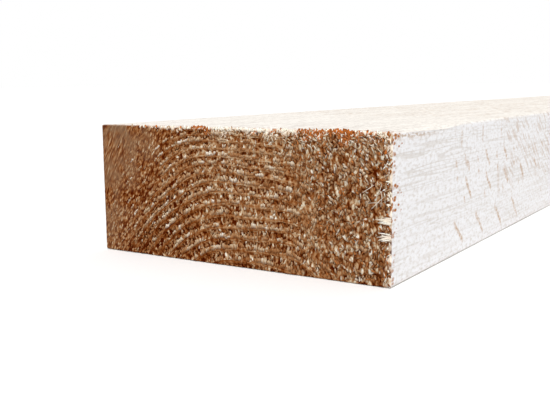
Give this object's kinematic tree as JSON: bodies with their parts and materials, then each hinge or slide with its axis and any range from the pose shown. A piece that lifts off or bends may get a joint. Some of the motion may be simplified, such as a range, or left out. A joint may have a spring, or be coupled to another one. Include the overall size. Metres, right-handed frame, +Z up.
{
  "type": "rough-sawn timber plank",
  "caption": "Rough-sawn softwood plank of rectangular section, crosscut square at both ends, for framing, decking supports and general building work.",
  "frame": {"origin": "on the underside, below the middle of the plank", "axes": "+X along the length, away from the end that the picture shows; +Y across the width, away from the narrow face that the picture shows; +Z up through the thickness"},
  "size_m": [1.8, 0.125, 0.05],
  "materials": {
    "sawn_softwood": "rough sawn, pale, unfinished",
    "end_grain": "crosscut, torn brown fibres"
  },
  "bodies": {
    "root": {"plank": "sawn_softwood"}
  },
  "joints": []
}
